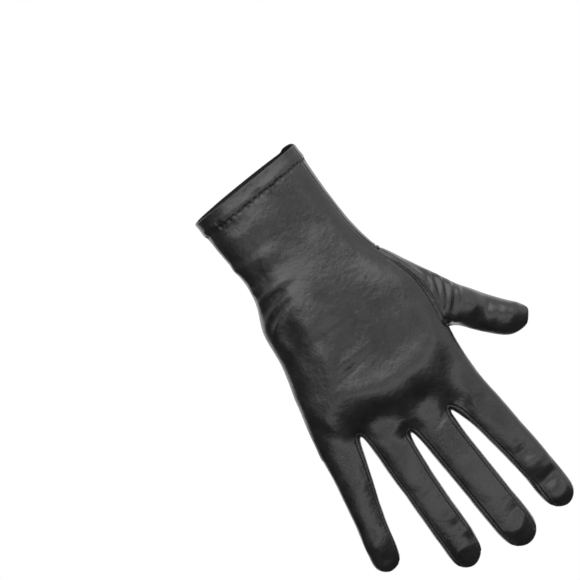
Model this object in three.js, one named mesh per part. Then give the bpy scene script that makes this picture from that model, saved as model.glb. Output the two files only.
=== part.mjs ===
// A right-hand dress glove of stretch satin, wrist length, in the filled form that it has on a hand.
// Millimetres, with +Z up. The fingers hang towards -Z, the back of the hand faces -Y and the thumb is
// on the +X side. The origin is the centre of the cuff's opening.
//
// The glove is one smooth surface of four-sided faces, in rows that run down the hand and columns that
// run round it. Its control points come from the tables of sections below, Catmull-Clark rules smooth
// it, folds are pushed into it, and it is then cut along its seams into cloth panels.
import * as THREE from "three";

// Driving dimensions of the hand.
const PALM_LENGTH = 146.5; // cuff's rim to the web between the ring and middle fingers
const CUFF_WIDTH = 62;
const CUFF_DEPTH = 38;
const RIM_RISE = 1.5; // how much higher the rim stands on the palm side
const PALM_DEPTH = 36; // back to palm through the heel of the hand
const KNUCKLE_SHIFT = 12; // how far the knuckles sit from the cuff's centre, towards the little finger
const WEB_GAP = 2.1; // clear width between two fingers at their web
const WEB_SLOPE = 3; // how much nearer the cuff a web's edge on the back of the hand lies
const PALM_WEB_SLOPE = 1; // and its edge on the palm
const THUMB_LENGTH = 63; // middle of its opening to its tip
const THUMB_DEPTH = 19;

// Driving dimensions of the cloth.
const WALL = 1.2;
const SEAM_GAP = 0.5; // clear width between two panels at their seam
const HEM_CLEARANCE = 0.3; // between the turned-in hem and the cuff that it lines
const SMOOTHING_ROUNDS = 1;
const SATIN = { color: 0x2c2c2e, roughness: 0.42, metalness: 0 };

// The fingers. width and depth are millimetres at the web, and length runs from there to the tip.
// splay and bow are the sideways lean and its straightening, and curl the bend towards the palm, as
// shares of the length. taper is how much slimmer the finger is near its tip, as a share of its width.
// web is the level of the web on the finger's index side, as a share of PALM_LENGTH.
const FINGERS = [
  {
    name: "little",
    width: 20.4,
    depth: 16,
    length: 64.8,
    splay: -0.294,
    bow: 0,
    curl: 0.12,
    taper: 0.255,
    web: 0.904,
  },
  {
    name: "ring",
    width: 18.9,
    depth: 17,
    length: 79.5,
    splay: -0.095,
    bow: 0.019,
    curl: 0.1,
    taper: 0.07,
    web: 1,
  },
  {
    name: "middle",
    width: 20.4,
    depth: 17.4,
    length: 78.8,
    splay: 0.006,
    bow: -0.002,
    curl: 0.08,
    taper: 0.075,
    web: 1.024,
  },
  {
    name: "index",
    width: 21.2,
    depth: 17,
    length: 79,
    splay: 0.111,
    bow: -0.053,
    curl: 0.09,
    taper: 0.205,
    web: 0.956,
  },
];
const LITTLE_SIDE_WEB = 0.874; // the level where the little finger starts on its outer side

// Sections across the hand, from the cuff's rim (at 0) to the webs (at 1). open runs from 0, half the
// cuff's width, to 1, half the knuckles' width; shift is a share of KNUCKLE_SHIFT; back and palm are
// shares of PALM_DEPTH, and square is the exponent of the section's superellipse.
const HAND_SECTIONS = [
  { at: 0.0, open: 0.02, shift: 0.0, back: 0.5, palm: 0.5, square: 2.2 },
  { at: 0.052, open: -0.02, shift: 0.01, back: 0.49, palm: 0.49, square: 2.2 },
  { at: 0.14, open: -0.05, shift: 0.025, back: 0.48, palm: 0.49, square: 2.2 },
  { at: 0.25, open: -0.09, shift: 0.03, back: 0.475, palm: 0.5, square: 2.25 },
  { at: 0.35, open: 0.02, shift: 0.11, back: 0.475, palm: 0.53, square: 2.35 },
  { at: 0.435, open: 0.3, shift: 0.26, back: 0.48, palm: 0.55, square: 2.4 },
  { at: 0.515, open: 0.55, shift: 0.22, back: 0.485, palm: 0.56, square: 2.45 },
  { at: 0.595, open: 0.73, shift: 0.17, back: 0.485, palm: 0.55, square: 2.5 },
  { at: 0.675, open: 0.86, shift: 0.29, back: 0.485, palm: 0.52, square: 2.55 },
  { at: 0.75, open: 0.9, shift: 0.47, back: 0.48, palm: 0.48, square: 2.6 },
  { at: 0.825, open: 0.9, shift: 0.67, back: 0.47, palm: 0.44, square: 2.6 },
  { at: 0.915, open: 0.93, shift: 0.87, back: 0.34, palm: 0.36, square: 2.6 },
];
const CUFF_END = 0.4; // where the cuff's own depth has wholly given way to the hand's
const HEM_ROWS = 1; // the rows of faces from the rim down that the hem lines
const THUMB_ROWS = [5, 10]; // the rows of control points that the thumb's opening spans
const THUMB_COLUMNS = [8, 11]; // and its columns, from the back of the hand to the palm
const SIDE_SHARE = 0.94; // where the outermost columns of the back and the palm lie
// How far the web row's points stand off the middle, as shares of half a finger's depth.
const WEB_REACH = 0.66;
const SIDE_REACH = 0.7;

// Sections along a finger, from the web (at 0) to the tip (at 1). slim is a share of the finger's taper;
// round is what the tip's rounding leaves of the section, and depth is a share of the finger's depth.
const FINGER_SECTIONS = [
  { at: 0.1, slim: 0.2, round: 1, depth: 0.97 },
  { at: 0.31, slim: 0.55, round: 1, depth: 0.94 },
  { at: 0.56, slim: 0.9, round: 1, depth: 0.9 },
  { at: 0.81, slim: 1, round: 0.985, depth: 0.85 },
  { at: 0.94, slim: 1, round: 0.77, depth: 0.82 },
];

// Where the seams beside a finger's back and palm run: across and deep, as shares of its half width and
// half depth.
const FINGER_CORNER = [0.82, 0.66];

// Sections along the thumb, measured from the middle of its opening in shares of THUMB_LENGTH: the
// edge away from the fingers (outer) and the one beside them (inner), each as right and up, and how
// far they lie towards the palm. free is 0 where a section follows the opening's edge and 1 where it
// is the thumb's own oval, and depth is a share of THUMB_DEPTH.
const THUMB_SECTIONS = [
  { free: 0.4, outer: [0.11, 0.23], inner: [0.13, -0.42], toPalm: 0.02, depth: 1.3 },
  { free: 0.85, outer: [0.195, 0.02], inner: [0.16, -0.48], toPalm: 0.06, depth: 1.18 },
  { free: 1, outer: [0.285, -0.15], inner: [0.19, -0.55], toPalm: 0.115, depth: 1.06 },
  { free: 1, outer: [0.383, -0.313], inner: [0.247, -0.638], toPalm: 0.165, depth: 0.96 },
  { free: 1, outer: [0.487, -0.476], inner: [0.324, -0.734], toPalm: 0.205, depth: 0.87 },
  { free: 1, outer: [0.603, -0.632], inner: [0.428, -0.81], toPalm: 0.23, depth: 0.66 },
];
const THUMB_CORNER = 0.45; // how far each corner of the opening is cut, towards the middle of its neighbours
const THUMB_STRETCH = 1.6; // how much of a section's outline its back and palm sides take
const THUMB_TIP = { right: 0.61, up: -0.78, toPalm: 0.235 };

// Folds: ridges (rise over 0) and hollows (rise under 0) along a straight line on the back or the palm.
// A line's ends are how far across, as a share of half the knuckles' width towards the thumb, and how
// far down, as a share of PALM_LENGTH. width and rise are shares of PALM_DEPTH.
const FOLDS = [
  { side: "back", from: [-0.72, 0.36], to: [-0.4, 0.325], width: 0.139, rise: 0.036 },
  { side: "back", from: [-0.8, 0.4], to: [-0.5, 0.375], width: 0.139, rise: -0.033 },
  { side: "back", from: [-0.9, 0.47], to: [-0.5, 0.42], width: 0.139, rise: 0.031 },
  { side: "back", from: [-0.65, 0.69], to: [-0.08, 0.655], width: 0.139, rise: 0.028 },
  { side: "back", from: [-0.65, 0.74], to: [-0.1, 0.7], width: 0.167, rise: -0.025 },
  { side: "back", from: [-0.9, 0.83], to: [0.6, 0.93], width: 0.222, rise: -0.033 },
  { side: "palm", from: [-0.7, 0.8], to: [0.5, 0.72], width: 0.194, rise: -0.039 },
  { side: "palm", from: [-0.2, 0.4], to: [0.5, 0.75], width: 0.222, rise: -0.044 },
  { side: "palm", from: [-0.6, 0.32], to: [0.5, 0.3], width: 0.167, rise: -0.033 },
];

const BACK_COLUMNS = 2 * FINGERS.length; // faces across the back, two for each finger
const COLUMNS = 2 * BACK_COLUMNS + 4; // and round the hand, with two on each side
const INDEX_SIDE = BACK_COLUMNS + 1; // the column that runs down the middle of the index side
const LITTLE_SIDE = COLUMNS - 1;

const lerp = (a, b, t) => a + (b - a) * t;
const smooth = (t) => THREE.MathUtils.smoothstep(t, 0, 1);

// The knuckles: half their width, and each finger's edges at the web, from the fingers' own widths.
const knuckleHalf = FINGERS.reduce((sum, f) => sum + f.width + WEB_GAP, -WEB_GAP) / 2;
const webAcross = [-knuckleHalf - WEB_GAP / 2];
FINGERS.forEach((f) => webAcross.push(webAcross.at(-1) + f.width + WEB_GAP));

// Share of the section's half width, from -1 to 1, of a column on the back or the palm.
function columnShare(step) {
  if (step === 0 || step === BACK_COLUMNS) return step ? SIDE_SHARE : -SIDE_SHARE;
  const left = webAcross[Math.floor(step / 2)];
  const right = webAcross[Math.ceil(step / 2)];
  return (left + right) / 2 / knuckleHalf;
}

// Level of the web line below a column on the back or the palm, as a share of PALM_LENGTH.
function webLevel(step) {
  const levels = [LITTLE_SIDE_WEB, ...FINGERS.map((f) => f.web)];
  return (levels[Math.floor(step / 2)] + levels[Math.ceil(step / 2)]) / 2;
}

// Where a column of the hand lies: its step across the back (0 at the little finger) and its side,
// -1 on the back, 0 on the middle of a side and 1 on the palm.
function columnPlace(column) {
  if (column <= BACK_COLUMNS) return { step: column, side: -1 };
  if (column === INDEX_SIDE) return { step: BACK_COLUMNS, side: 0 };
  if (column === LITTLE_SIDE) return { step: 0, side: 0 };
  return { step: LITTLE_SIDE - 1 - column, side: 1 };
}

// A point of the hand's surface at a section, a share of its half width and a side.
function handPoint(section, share, side, level) {
  const half = lerp(CUFF_WIDTH / 2, knuckleHalf, section.open);
  const grown = smooth(section.at / CUFF_END);
  const deep = (part) => lerp(CUFF_DEPTH / 2, part * PALM_DEPTH, grown);
  const arch = Math.pow(1 - Math.pow(Math.abs(share), section.square), 1 / section.square);
  const rise = (side > 0 ? RIM_RISE * arch : 0) * (1 - grown);
  return new THREE.Vector3(
    half * (side ? share : Math.sign(share)) - KNUCKLE_SHIFT * section.shift,
    side < 0 ? -deep(section.back) * arch : side > 0 ? deep(section.palm) * arch : 0,
    rise - section.at * lerp(1, level, section.at) * PALM_LENGTH,
  );
}

// A square's point (u, v) moved onto a round disc. With a stretch over 1, the sides where u is 1 or -1
// take more of the disc's edge.
function toDisc(u, v, stretch = 1) {
  const [p, q] = [u * Math.sqrt(1 - (v * v) / 2), v * Math.sqrt(1 - (u * u) / 2)];
  const share = p || q ? Math.hypot(p, q) / Math.hypot(p, q * stretch) : 1;
  return [p * share, q * stretch * share];
}

// The control mesh. A face holds its four corners, anticlockwise from outside, and its panel; seams
// holds the edges, written "low|high", along which panels meet.
const mesh = { points: [], faces: [], seams: new Set() };
const edgeKey = (a, b) => (a < b ? a + "|" + b : b + "|" + a);
const addPoint = (p) => mesh.points.push(p) - 1;
const addFace = (panel, ...corners) => mesh.faces.push({ corners, panel });
const total = (ids, points) => [...ids].reduce((sum, id) => sum.add(points[id]), new THREE.Vector3());
const addSeam = (ids) => ids.slice(1).forEach((id, i) => mesh.seams.add(edgeKey(ids[i], id)));

// The cells of a grid's edge in order: along the top, down the right, back along the bottom and up.
function gridEdge(wide, high) {
  const cells = [];
  for (let i = 0; i < wide; i++) cells.push([i, 0]);
  for (let j = 0; j < high; j++) cells.push([wide, j]);
  for (let i = wide; i > 0; i--) cells.push([i, high]);
  for (let j = high; j > 0; j--) cells.push([0, j]);
  return cells;
}

// Grows a tube from a ring of points round a wide by high grid, one ring for each section, and closes
// its end with that grid. place(section, u, v) gives a point of a ring and tip(u, v) one of the end;
// panels names the panel of each face round the tube, and endPanels that of each row of the end's faces.
function growTube(ring, wide, high, sections, place, tip, panels, endPanels) {
  const edge = gridEdge(wide, high).map(([i, j]) => [(2 * i) / wide - 1, (2 * j) / high - 1]);
  const rings = [ring];
  for (const section of sections) {
    const next = edge.map(([u, v], k) => addPoint(place(section, u, v, ring[k])));
    const last = rings.at(-1);
    next.forEach((id, k) => {
      const after = (k + 1) % next.length;
      addFace(panels[k], last[k], id, next[after], last[after]);
    });
    rings.push(next);
  }
  const end = Array.from({ length: wide + 1 }, () => []);
  gridEdge(wide, high).forEach(([i, j], k) => (end[i][j] = rings.at(-1)[k]));
  for (let i = 1; i < wide; i++)
    for (let j = 1; j < high; j++) end[i][j] = addPoint(tip((2 * i) / wide - 1, (2 * j) / high - 1));
  for (let i = 0; i < wide; i++)
    for (let j = 0; j < high; j++)
      addFace(endPanels[j], end[i + 1][j], end[i][j], end[i][j + 1], end[i + 1][j + 1]);
  return { rings, end };
}

// The hand's own rows, down to the webs.
const rows = HAND_SECTIONS.map((section) =>
  Array.from({ length: COLUMNS }, (_, column) => {
    const { step, side } = columnPlace(column);
    return addPoint(handPoint(section, columnShare(step), side, webLevel(step)));
  }),
);

// The fingers' middle lines start on the web row, half way between the back and the palm.
const lastSection = HAND_SECTIONS.at(-1);
const baseDepth = ((lastSection.palm - lastSection.back) * PALM_DEPTH) / 2;
function fingerBase(f) {
  const across = (webAcross[f] + webAcross[f + 1]) / 2 - KNUCKLE_SHIFT;
  return new THREE.Vector3(across, baseDepth, -webLevel(2 * f + 1) * PALM_LENGTH);
}

// The web row: where each finger starts, with the webs' own edges between the fingers.
function webPoint(column) {
  const { step, side } = columnPlace(column);
  const finger = Math.min(Math.floor(step / 2), FINGERS.length - 1);
  const deep = FINGERS[finger].depth / 2;
  const isWeb = step % 2 === 0 && step > 0 && step < BACK_COLUMNS;
  const isCorner = step === 0 || step === BACK_COLUMNS;
  const share = isCorner ? (side ? columnShare(step) : Math.sign(columnShare(step))) : columnShare(step);
  const reach = isWeb ? WEB_REACH : isCorner ? SIDE_REACH : 1;
  const rise = isWeb ? (side < 0 ? WEB_SLOPE : PALM_WEB_SLOPE) : 0;
  return new THREE.Vector3(
    share * knuckleHalf - KNUCKLE_SHIFT,
    baseDepth + side * deep * reach,
    rise - webLevel(step) * PALM_LENGTH,
  );
}
const webRow = Array.from({ length: COLUMNS }, (_, column) => addPoint(webPoint(column)));
rows.push(webRow);
const webMiddles = webAcross.map((across, k) => {
  if (k === 0) return webRow[LITTLE_SIDE];
  if (k === FINGERS.length) return webRow[INDEX_SIDE];
  return addPoint(new THREE.Vector3(across - KNUCKLE_SHIFT, baseDepth, -webLevel(2 * k) * PALM_LENGTH));
});

// The hand's faces, with the thumb's opening left out. The back and the palm meet in a seam up each side.
// On the index side it runs on the back above the thumb, and down the middle of the side below it.
const inOpening = (row, column) =>
  row >= THUMB_ROWS[0] && row < THUMB_ROWS[1] && column >= THUMB_COLUMNS[0] && column < THUMB_COLUMNS[1];
for (let row = 0; row + 1 < rows.length; row++)
  for (let column = 0; column < COLUMNS; column++) {
    if (inOpening(row, column)) continue;
    const after = (column + 1) % COLUMNS;
    const backEnds = row < THUMB_ROWS[1] ? BACK_COLUMNS : INDEX_SIDE;
    const part = column < backEnds || column === LITTLE_SIDE ? "back" : "palm";
    const panel = row < HEM_ROWS ? part + "_hemmed" : part;
    addFace(panel, rows[row][column], rows[row + 1][column], rows[row + 1][after], rows[row][after]);
  }
addSeam(rows.map((row) => row[LITTLE_SIDE]));
addSeam(rows.slice(0, THUMB_ROWS[0] + 1).map((row) => row[BACK_COLUMNS]));
addSeam(rows.slice(THUMB_ROWS[1]).map((row) => row[INDEX_SIDE]));

// A finger's middle line, from the web to the tip.
function fingerLine(f, at) {
  const { length, splay, bow, curl } = FINGERS[f];
  return fingerBase(f).add(
    new THREE.Vector3(length * (splay * at + bow * at * at), length * curl * at * at, -length * at),
  );
}

// The directions across a finger and from its back to its palm side, at a place on its line.
function fingerAxes(f, at) {
  const STEP = 0.01;
  const along = fingerLine(f, at + STEP).sub(fingerLine(f, at - STEP)).normalize();
  const across = new THREE.Vector3().crossVectors(new THREE.Vector3(0, 1, 0), along).normalize().negate();
  return { along, across, deep: new THREE.Vector3().crossVectors(across, along).normalize() };
}

FINGERS.forEach((finger, f) => {
  const ring = [0, 1, 2].map((k) => webRow[2 * f + k]);
  ring.push(webMiddles[f + 1]);
  ring.push(...[2, 1, 0].map((k) => webRow[LITTLE_SIDE - 1 - 2 * f - k]));
  ring.push(webMiddles[f]);
  const middleLevel = webLevel(2 * f + 1);
  const webs = [webLevel(2 * f), webLevel(2 * f + 2)].map(
    (level) => ((level - middleLevel) * PALM_LENGTH) / finger.length,
  );
  const END = FINGER_SECTIONS.at(-1).at;
  // A ring starts level with the webs beside it and is square to the finger by its end.
  const place = (section, u, v) => {
    const at = section.at + lerp(webs[0], webs[1], (u + 1) / 2) * (1 - section.at / END);
    const { across, deep } = fingerAxes(f, at);
    const [p, q] = u && v ? [u * FINGER_CORNER[0], v * FINGER_CORNER[1]] : toDisc(u, v);
    const halfWidth = (finger.width / 2) * (1 - finger.taper * section.slim) * section.round;
    const halfDepth = (finger.depth / 2) * section.depth * section.round;
    return fingerLine(f, at)
      .addScaledVector(across, halfWidth * p)
      .addScaledVector(deep, halfDepth * q);
  };
  // A fourchette lines each side that faces another finger. On an outer side the back meets the palm.
  const between = (k) =>
    FINGERS[k] && FINGERS[k + 1] ? `fourchette_${FINGERS[k].name}_${FINGERS[k + 1].name}` : null;
  const [inner, outer] = [between(f), between(f - 1)];
  const panels = ["back", "back", inner ?? "back", inner ?? "palm"];
  panels.push("palm", "palm", outer ?? "palm", outer ?? "back");
  const ends = ["back", "palm"];
  const { rings, end } = growTube(ring, 2, 2, FINGER_SECTIONS, place, () => fingerLine(f, 1), panels, ends);
  for (const [side, first] of [[f, 2], [f - 1, 6]]) {
    if (!between(side)) {
      addSeam(rings.map((r) => r[first + 1]));
      continue;
    }
    const last = rings.at(-1);
    addSeam(rings.map((r) => r[first]));
    addSeam(rings.map((r) => r[(first + 2) % 8]));
    addSeam([first, first + 1, (first + 2) % 8].map((k) => last[k]));
  }
  addSeam([end[0][1], end[1][1], end[2][1]]);
});

// The thumb, from its opening on the index side.
{
  const [top, bottom] = THUMB_ROWS;
  const [back, palm] = THUMB_COLUMNS;
  const cells = gridEdge(palm - back, bottom - top);
  const ring = cells.map(([i, j]) => rows[top + j][back + i]);
  cells.forEach(([i, j], k) => {
    const isCorner = i % (palm - back) === 0 && j % (bottom - top) === 0;
    if (!isCorner) return;
    const beside = [ring.at(k - 1), ring[(k + 1) % ring.length]];
    mesh.points[ring[k]].lerp(total(beside, mesh.points).divideScalar(2), THUMB_CORNER);
  });
  const root = total(ring, mesh.points).divideScalar(ring.length);
  const spot = (right, up, toPalm) =>
    new THREE.Vector3(right, toPalm, up).multiplyScalar(THUMB_LENGTH).add(root);
  const tipPoint = spot(THUMB_TIP.right, THUMB_TIP.up, THUMB_TIP.toPalm);
  const middles = THUMB_SECTIONS.map(({ outer, inner, toPalm }) =>
    spot((outer[0] + inner[0]) / 2, (outer[1] + inner[1]) / 2, toPalm),
  );
  const axes = (section) => {
    const k = THUMB_SECTIONS.indexOf(section);
    const along = (middles[k + 1] ?? tipPoint).clone().sub(middles[k - 1] ?? root);
    const { outer, inner, toPalm, depth } = section;
    const inward = spot(...inner, toPalm).sub(spot(...outer, toPalm)).divideScalar(2);
    const deep = new THREE.Vector3().crossVectors(along, inward).setLength((THUMB_DEPTH * depth) / 2);
    return { middle: middles[k].clone(), inward, deep };
  };
  const place = (section, u, v, ringPoint) => {
    const { middle, inward, deep } = axes(section);
    const [q, p] = toDisc(u, v, THUMB_STRETCH);
    const own = middle.addScaledVector(inward, p).addScaledVector(deep, q);
    return mesh.points[ringPoint].clone().lerp(own, section.free);
  };
  const tip = (u, v) => {
    const { middle, inward, deep } = axes(THUMB_SECTIONS.at(-1));
    const [q, p] = toDisc(u, v, THUMB_STRETCH);
    const dome = Math.sqrt(Math.max(0, 1 - p * p - q * q));
    return middle.clone().lerp(tipPoint, dome).addScaledVector(inward, p).addScaledVector(deep, q);
  };
  const panels = ring.map(() => "thumb");
  growTube(ring, palm - back, bottom - top, THUMB_SECTIONS, place, tip, panels, panels);
  addSeam([...ring, ring[0]]);
}

// Everything that meets at each point: its neighbours along edges, the points across its faces, and
// the neighbours along the cloth's open edge.
function neighbourhoods({ points, faces }) {
  const uses = new Map();
  const around = points.map(() => ({ beside: new Set(), across: [], open: [] }));
  for (const { corners } of faces)
    corners.forEach((a, k) => {
      const b = corners[(k + 1) % 4];
      around[a].beside.add(b);
      around[b].beside.add(a);
      around[a].across.push(corners[(k + 2) % 4]);
      uses.set(edgeKey(a, b), (uses.get(edgeKey(a, b)) ?? 0) + 1);
    });
  for (const [key, count] of uses) {
    if (count > 1) continue;
    const [a, b] = key.split("|").map(Number);
    around[a].open.push(b);
    around[b].open.push(a);
  }
  return around;
}

// Where a control point ends up after endless Catmull-Clark rounds.
function limitPoint(id, points, around) {
  const { beside, across, open } = around[id];
  if (open.length === 2) return total(open, points).addScaledVector(points[id], 4).divideScalar(6);
  const n = across.length;
  return total(across, points)
    .addScaledVector(total(beside, points), 4)
    .addScaledVector(points[id], n * n)
    .divideScalar(n * (n + 5));
}

// Moves the control points until the smooth surface passes through the places that the tables give.
function fitToTables(shape) {
  const FIT_ROUNDS = 8;
  const targets = shape.points.map((p) => p.clone());
  const around = neighbourhoods(shape);
  for (let round = 0; round < FIT_ROUNDS; round++) {
    const limits = shape.points.map((_, id) => limitPoint(id, shape.points, around));
    shape.points.forEach((p, id) => p.add(targets[id]).sub(limits[id]));
  }
}

// One round of Catmull-Clark subdivision. A seam passes to both halves of its edge.
function subdivide({ points, faces, seams }) {
  const around = neighbourhoods({ points, faces });
  const centres = faces.map(({ corners }) => total(corners, points).divideScalar(4));
  const edges = new Map();
  faces.forEach(({ corners }, f) =>
    corners.forEach((a, k) => {
      const key = edgeKey(a, corners[(k + 1) % 4]);
      edges.set(key, [...(edges.get(key) ?? []), f]);
    }),
  );
  const next = { points: [], faces: [], seams: new Set() };
  points.forEach((p, id) => {
    const { beside, across, open } = around[id];
    if (open.length === 2) {
      next.points.push(total(open, points).addScaledVector(p, 6).divideScalar(8));
      return;
    }
    const n = across.length;
    const corner = total(across, points).addScaledVector(total(beside, points), 6).divideScalar(4 * n * n);
    next.points.push(corner.addScaledVector(p, 1 - 7 / (4 * n)));
  });
  const centreIds = centres.map((c) => next.points.push(c) - 1);
  const middleIds = new Map();
  for (const [key, beside] of edges) {
    const ends = key.split("|").map(Number);
    const middle = total(ends, points);
    if (beside.length === 2) middle.add(centres[beside[0]]).add(centres[beside[1]]).divideScalar(4);
    else middle.divideScalar(2);
    const id = next.points.push(middle) - 1;
    middleIds.set(key, id);
    if (seams.has(key)) ends.forEach((end) => next.seams.add(edgeKey(end, id)));
  }
  faces.forEach(({ corners, panel }, f) =>
    corners.forEach((a, k) => {
      const after = middleIds.get(edgeKey(a, corners[(k + 1) % 4]));
      const before = middleIds.get(edgeKey(corners[(k + 3) % 4], a));
      next.faces.push({ corners: [a, after, centreIds[f], before], panel });
    }),
  );
  return next;
}

// Unit normals of the surface at its points.
function pointNormals({ points, faces }) {
  const normals = points.map(() => new THREE.Vector3());
  for (const { corners } of faces) {
    const [a, b, c, d] = corners.map((id) => points[id]);
    const facing = new THREE.Vector3().crossVectors(c.clone().sub(a), d.clone().sub(b));
    corners.forEach((id) => normals[id].add(facing));
  }
  return normals.map((n) => n.normalize());
}

// A fold pushes the points near its line out or in, most at the middle of its length.
function pressFolds(shape) {
  const normals = pointNormals(shape);
  const end = ([across, down]) =>
    new THREE.Vector2(across * knuckleHalf - KNUCKLE_SHIFT * smooth(down), -down * PALM_LENGTH);
  const lines = FOLDS.map((fold) => ({ ...fold, start: end(fold.from), stop: end(fold.to) }));
  shape.points.forEach((p, id) => {
    const facing = normals[id].y;
    for (const { side, start, stop, width, rise } of lines) {
      if (side === "back" ? facing > 0 : facing < 0) continue;
      const run = stop.clone().sub(start);
      const from = new THREE.Vector2(p.x, p.z).sub(start);
      const along = from.dot(run) / run.lengthSq();
      const off = from.cross(run) / run.length() / (width * PALM_DEPTH);
      const share = Math.exp(-off * off - Math.pow(2 * along - 1, 4)) * Math.min(1, Math.abs(facing) * 2);
      p.addScaledVector(normals[id], rise * PALM_DEPTH * share);
    }
  });
}

// Cuts the surface along its seams: the faces of each panel, with points of its own.
function cutPanels(shape) {
  const beside = new Map();
  shape.faces.forEach(({ corners }, f) =>
    corners.forEach((a, k) => {
      const key = edgeKey(a, corners[(k + 1) % 4]);
      if (!shape.seams.has(key)) beside.set(key, [...(beside.get(key) ?? []), f]);
    }),
  );
  // Corners of faces that share a point without a seam between them are one point of the cloth.
  const parent = Array.from({ length: shape.faces.length * 4 }, (_, k) => k);
  const find = (k) => (parent[k] === k ? k : (parent[k] = find(parent[k])));
  for (const [key, pair] of beside) {
    if (pair.length < 2) continue;
    for (const id of key.split("|").map(Number)) {
      const [a, b] = pair.map((f) => find(f * 4 + shape.faces[f].corners.indexOf(id)));
      parent[a] = b;
    }
  }
  const panels = new Map();
  shape.faces.forEach(({ corners, panel }, f) => {
    if (!panels.has(panel)) panels.set(panel, []);
    panels.get(panel).push(corners.map((id, k) => ({ id, cloth: find(f * 4 + k) })));
  });
  return panels;
}

// A closed solid of cloth: the panel's faces outer millimetres below the surface, the same faces one
// wall lower, and a strip round each open edge. The edges are drawn in by half the seams' gap.
function clothSolid(faces, shape, normals, outer = 0) {
  const ids = new Map();
  for (const { id, cloth } of faces.flat()) {
    const [point, inward] = [shape.points[id].clone(), new THREE.Vector3()];
    ids.set(cloth, { index: 0, point, normal: normals[id], inward });
  }
  const uses = new Map();
  faces.forEach((face) =>
    face.forEach((a, k) => {
      const b = face[(k + 1) % 4];
      const key = edgeKey(a.cloth, b.cloth);
      uses.set(key, uses.has(key) ? null : [a.cloth, b.cloth]);
    }),
  );
  const rim = [...uses.values()].filter(Boolean);
  for (const [a, b] of rim) {
    const run = ids.get(b).point.clone().sub(ids.get(a).point);
    for (const end of [a, b]) {
      const { normal, inward } = ids.get(end);
      inward.add(new THREE.Vector3().crossVectors(normal, run).normalize());
    }
  }
  const points = [...ids.values()];
  points.forEach((p, index) => {
    p.index = index;
    // The edges that meet at a point are each drawn in by half the gap, unless they double back.
    const cosine = p.inward.length() / 2;
    const DOUBLES_BACK = 0.3;
    if (cosine > DOUBLES_BACK) p.point.addScaledVector(p.inward, SEAM_GAP / 2 / (2 * cosine * cosine));
  });
  const positions = [outer, outer + WALL].flatMap((below) =>
    points.flatMap((p) => p.point.clone().addScaledVector(p.normal, -below).toArray()),
  );
  const under = points.length;
  const triangles = [];
  const quad = (a, b, c, d) => triangles.push(a, b, c, a, c, d);
  for (const face of faces) {
    const [a, b, c, d] = face.map(({ cloth }) => ids.get(cloth).index);
    quad(a, b, c, d);
    quad(d + under, c + under, b + under, a + under);
  }
  for (const [a, b] of rim) {
    const [from, to] = [ids.get(a).index, ids.get(b).index];
    quad(to, from, from + under, to + under);
  }
  const geometry = new THREE.BufferGeometry();
  geometry.setAttribute("position", new THREE.Float32BufferAttribute(positions, 3));
  geometry.setIndex(triangles);
  geometry.computeVertexNormals();
  return geometry;
}

function buildGlove() {
  fitToTables(mesh);
  let shape = mesh;
  for (let round = 0; round < SMOOTHING_ROUNDS; round++) shape = subdivide(shape);
  pressFolds(shape);
  const normals = pointNormals(shape);
  const panels = cutPanels(shape);
  const glove = new THREE.Group();
  const add = (name, geometry) => {
    const piece = new THREE.Mesh(geometry, new THREE.MeshStandardMaterial(SATIN));
    piece.name = name;
    glove.add(piece);
  };
  const hemmed = ["back", "palm"].flatMap((part) => {
    const faces = panels.get(part + "_hemmed");
    add(part + "_panel", clothSolid([...panels.get(part), ...faces], shape, normals));
    return faces;
  });
  // The hem goes right round, over the side seams, so it takes the surface's own points.
  const hemFaces = hemmed.map((face) => face.map(({ id }) => ({ id, cloth: id })));
  add("cuff_hem", clothSolid(hemFaces, shape, normals, WALL + HEM_CLEARANCE));
  add("thumb_panel", clothSolid(panels.get("thumb"), shape, normals));
  for (const [name, faces] of panels)
    if (name.startsWith("fourchette")) add(name, clothSolid(faces, shape, normals));
  return glove;
}

export default buildGlove();
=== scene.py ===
"""A wrist length dress glove of black stretch satin, in the filled form that it has on a hand.

The cloth is built as one smooth surface in millimetres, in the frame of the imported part: +Z out of
the cuff, -Y on the back of the hand and +X towards the thumb. Folds, seams and puckers are pressed
into that surface, it is cut along its seams into the panels that stand for the CAD nodes, and
threads are sewn along the seams.
"""
import math

import bpy
import numpy as np
from mathutils import Matrix, Vector, kdtree


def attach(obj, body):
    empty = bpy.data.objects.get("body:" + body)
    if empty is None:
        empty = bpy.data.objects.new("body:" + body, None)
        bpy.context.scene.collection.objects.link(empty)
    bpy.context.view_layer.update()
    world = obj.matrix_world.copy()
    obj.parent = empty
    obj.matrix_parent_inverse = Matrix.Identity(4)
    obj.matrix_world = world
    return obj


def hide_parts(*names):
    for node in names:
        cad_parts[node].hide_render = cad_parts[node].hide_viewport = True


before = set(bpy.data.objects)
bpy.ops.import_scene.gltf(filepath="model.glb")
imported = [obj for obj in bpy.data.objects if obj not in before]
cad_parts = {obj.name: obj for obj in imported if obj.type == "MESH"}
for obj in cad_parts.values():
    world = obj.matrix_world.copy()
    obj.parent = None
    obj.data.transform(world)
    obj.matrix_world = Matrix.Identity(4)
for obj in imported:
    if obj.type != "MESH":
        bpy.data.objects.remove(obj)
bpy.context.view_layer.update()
MM = 0.001
CLOTH_UNIT = 100  # millimetres of cloth to a unit of the UV map
LEVELS = 4  # how often the control mesh is divided

# Sizes of the hand, as in the part.
PALM_LENGTH = 146.5
CUFF_WIDTH = 62.0
CUFF_DEPTH = 38.0
RIM_RISE = 1.5
PALM_DEPTH = 36.0
KNUCKLE_SHIFT = 12.0
WEB_GAP = 2.1
WEB_SLOPE = 3.0
PALM_WEB_SLOPE = 1.0
THUMB_LENGTH = 63.0
THUMB_DEPTH = 19.0
LITTLE_SIDE_WEB = 0.874
CUFF_END = 0.4
SIDE_SHARE = 0.94
WEB_REACH = 0.66
SIDE_REACH = 0.7

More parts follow.
